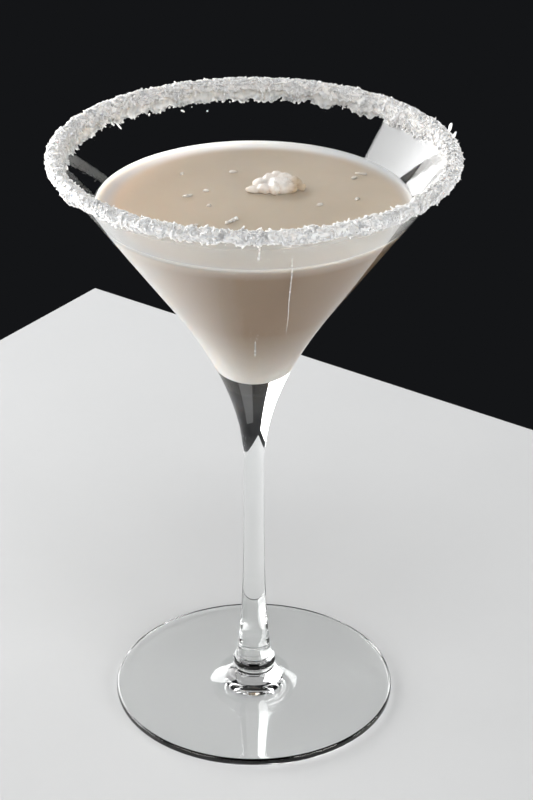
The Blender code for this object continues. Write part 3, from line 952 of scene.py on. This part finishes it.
def drink_specks(material):
    """Small bits afloat, the longer ones of several lumps in a row."""
    bm = bmesh.new()
    for index, (x, y, length, heading) in enumerate(SPECKS):
        turn = math.radians(heading)
        parts = max(1, round(length / SPECK_LUMP))
        half = (0.55 * length / parts * 1.5, SPECK_HALF_WIDTH, SPECK_HALF_HEIGHT)
        for part in range(parts):
            shift = (part + 0.5) / parts - 0.5
            place = Vector((x, y, DRINK_LEVEL + 0.0001)) + shift * length * around(turn)
            blob(bm, place, half, turn + 0.3 * part, 0.4, 5.3 * index + part, 2)
    return finished(bm, "drink_specks", material, lambda spot: 0.75)


def wall_crumbs(material, draw):
    """Crumbs that stick to the inside of the wall between crust and drink."""
    bm = bmesh.new()
    for index, (degrees, height) in enumerate(WALL_CRUMBS):
        height *= 0.001
        half = draw.uniform(0.0002, 0.00042)
        place = at(math.radians(degrees), inner_wall(height) - 0.4 * half, height)
        blob(bm, place, (half, half * 0.8, half), 0.7 * index, 0.5, 1.9 * index, 2)
    return finished(bm, "wall_crumbs", material, lambda spot: 0.8)


def wall_film(material):
    """A thin closed shell on the near half of the inner wall, from the drink up to the crust; its white
    haze is partly painted reflection.
    """
    first, last = FILM_ANGLES
    low = DRINK_LEVEL + MENISCUS_RISE + 0.0001
    heights = [low + (FILM_TOP - low) * step / FILM_ROWS for step in range(FILM_ROWS + 1)]
    section = [(inner_wall(height) + FILM_REACH, height) for height in heights]
    section += [(inner_wall(height) + FILM_REACH - FILM_THICKNESS, height) for height in reversed(heights)]
    bm = bmesh.new()
    rows = []
    for side in range(FILM_COLUMNS + 1):
        angle = first + (last - first) * side / FILM_COLUMNS
        rows.append([bm.verts.new(at(angle, radius, height)) for radius, height in section])
    skin(bm, rows)
    bm.faces.new(rows[0])
    bm.faces.new(rows[-1])
    return finished(bm, "wall_film", material)


def syrup_drips(tree, material):
    """Thin runs down the bowl's outside, pressed flat against it."""
    corners, pairs, girths = [], [], []
    for drip in DRIPS:
        for step, (degrees, height, half_width) in enumerate(drip):
            if step:
                pairs.append((len(corners) - 1, len(corners)))
            height *= 0.001
            corners.append(at(math.radians(degrees), outer_wall(height), height))
            girths.append(0.001 * half_width)
    mesh = bpy.data.meshes.new("syrup_drips")
    mesh.from_pydata(corners, pairs, [])
    girth = mesh.attributes.new("girth", "FLOAT", "POINT")
    girth.data.foreach_set("value", girths)
    piece = grow("syrup_drips", mesh, tree, sides=10, material=material)
    for vertex in piece.data.vertices:
        radius = math.hypot(vertex.co.x, vertex.co.y)
        off = radius - outer_wall(vertex.co.z)
        pressed = outer_wall(vertex.co.z) + 0.45 * off
        vertex.co.x *= pressed / radius
        vertex.co.y *= pressed / radius
    return face_outward(piece)


# Floor, lights and camera

def build_floor():
    """A pale slab that ends in a corner behind the glass, as bright and as large as the light needs."""
    right = FLOOR_RIGHT.normalized() * FLOOR_LENGTH
    near = FLOOR_NEAR.normalized() * FLOOR_LENGTH
    corners = (FLOOR_CORNER, FLOOR_CORNER + near, FLOOR_CORNER + near + right, FLOOR_CORNER + right)
    bm = bmesh.new()
    for height in FLOOR_HEIGHTS:
        bm.faces.new([bm.verts.new(place + Vector((0, 0, height))) for place in corners])
    bmesh.ops.bridge_loops(bm, edges=bm.edges[:])
    floor = new_object("floor", to_mesh(bm, "floor", smooth=False))
    floor.data.materials.append(pale_floor())


def soft_light(name, azimuth, elevation, distance, size, power):
    """A soft lamp round the glass: angles in degrees, distance and size in metres, power in watts."""
    light = bpy.data.lights.new(name, "AREA")
    light.shape = "RECTANGLE"
    light.size, light.size_y = size
    light.energy = power
    lamp = new_object(name, light)
    rise = math.radians(elevation)
    away = around(math.radians(azimuth)) * math.cos(rise) + Vector((0, 0, math.sin(rise)))
    lamp.location = LAMP_TARGET + away * distance
    lamp.rotation_euler = away.to_track_quat("Z", "Y").to_euler()
    lamp.visible_camera = False
    return lamp


def shine_through(lamp, glass):
    """Let clear glass throw no shadow from a lamp, so that the foot and the collar stay bright.

    Such a lamp lights matt things alone, and no glass shows it."""
    lamp.visible_glossy = False
    lamp.visible_transmission = False
    spared = bpy.data.collections.new(f"{lamp.name}_spared")
    spared.objects.link(glass)
    lamp.light_linking.blocker_collection = spared
    spared.collection_objects[0].light_linking.link_state = "EXCLUDE"


def build_lights(glass):
    soft_light("window_light", 141, 10, 1.3, (1.75, 1.4), 28)
    shine_through(soft_light("window_glow", 141, 10, 1.31, (1.75, 1.4), 24), glass)
    soft_light("window_shine", 141, 10, 1.32, (1.75, 1.4), 23).visible_diffuse = False
    shine_through(soft_light("rear_high_light", 60, 57, 1.3, (1.0, 0.5), 2.3), glass)
    shine_through(soft_light("front_high_light", 270, 65, 1.6, (0.8, 0.3), 6.5), glass)
    soft_light("dim_panel", 86, 30, 1.5, (1.15, 0.86), 1.2)
    soft_light("left_fill", 222, 13, 1.7, (1.1, 0.9), 14)
    soft_light("right_fill", 318, 13, 1.7, (1.1, 0.9), 25)
    soft_light("low_left_light", 180, -8, 1.3, (0.9, 0.7), 16)
    soft_light("low_right_light", 4, -3, 1.3, (0.7, 0.35), 7)
    soft_light("dim_strip", 80, -4, 1.5, (0.42, 0.5), 0.06)
    world = bpy.data.worlds.new("dim_surroundings")
    bpy.context.scene.world = world
    world.use_nodes = True
    back = world.node_tree.nodes["Background"]
    back.inputs["Color"].default_value = (0.007, 0.0075, 0.0085, 1.0)
    bpy.context.scene.view_settings.view_transform = "Standard"


def build_camera():
    lens = bpy.data.cameras.new("camera")
    lens.sensor_width = SENSOR
    lens.lens = FOCAL_PIXELS * SENSOR / PICTURE_HEIGHT
    lens.shift_x = AXIS_SHIFT / PICTURE_HEIGHT
    lens.clip_start = 0.01
    camera = new_object("camera", lens)
    camera.location = CAMERA_PLACE
    camera.rotation_euler = (math.pi / 2 - CAMERA_DOWN, 0.0, 0.0)
    bpy.context.scene.camera = camera


def hand_over(piece, slot, *nodes):
    """Let a piece ride with the glass and stand for its nodes, which it hides; the slot is not used."""
    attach(piece, "root")
    if nodes:
        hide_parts(*nodes)


def build():
    """Make and hand over every piece, and return the glass for the lamps."""
    draw = random.Random(11)
    turning, scatter, bead = turning_tree(), scatter_tree(), drip_tree()
    glass = turned("glass_body", glass_outline(), turning, GLASS_SIDES, clear_glass())
    hand_over(glass, "clear_glass", "glass")
    drink = ripple_drink(turned("drink_body", drink_outline(), turning, DRINK_SIDES, cream_drink()))
    hand_over(drink, "cream_drink", "drink")

    dry = coconut("dry_coconut", (0.80, 0.775, 0.74), (0.90, 0.88, 0.855), low=0.65, high=0.9,
                  grain=0.00003, subsurface=0.75, depth=0.003)
    wet = coconut("wet_coconut", (0.58, 0.46, 0.33), (0.82, 0.77, 0.72), low=0.2, high=0.4,
                  grain=0.00002, subsurface=0.6, depth=0.0016)
    core = crust_core(dry)
    guide = crust_guide(core)
    slivers = shape_box("sliver_shapes", sliver_shapes(draw, SHRED_SIZE, sections=5, bend=0.5, kinds=8))
    lumps = shape_box("crumb_shapes", crumb_shapes(draw))
    chips = shape_box("flake_shapes", sliver_shapes(draw, FLAKE_SIZE, sections=4, bend=0.4, kinds=8))
    crumbs = strew("coconut_crumbs", guide, lumps, scatter, dry,
                   per_area=CRUMBS, least=0.55, most=1.5, lean=1.5, seed=3)
    flakes = strew("coconut_flakes", guide, chips, scatter, dry,
                   per_area=FLAKES, least=0.6, most=1.3, lean=0.45, seed=13)
    shreds = strew("coconut_shreds", guide, slivers, scatter, dry,
                   per_area=SHREDS, least=0.6, most=1.15, lean=0.28, seed=23)
    for piece in (core, crumbs, flakes, shreds, strands(dry, draw)):
        hand_over(piece, "coconut", "rim_coconut")
    hand_over(wall_crumbs(dry, draw), "coconut")

    hand_over(clump(slivers, scatter, wet), "wet_coconut", "coconut_clump")
    hand_over(drink_specks(wet), "wet_coconut", "drink")
    hand_over(syrup_drips(bead, syrup()), "cream_drink")
    hand_over(wall_film(milky_film()), "cream_drink")
    return glass


glass_piece = build()
build_floor()
build_lights(glass_piece)
build_camera()
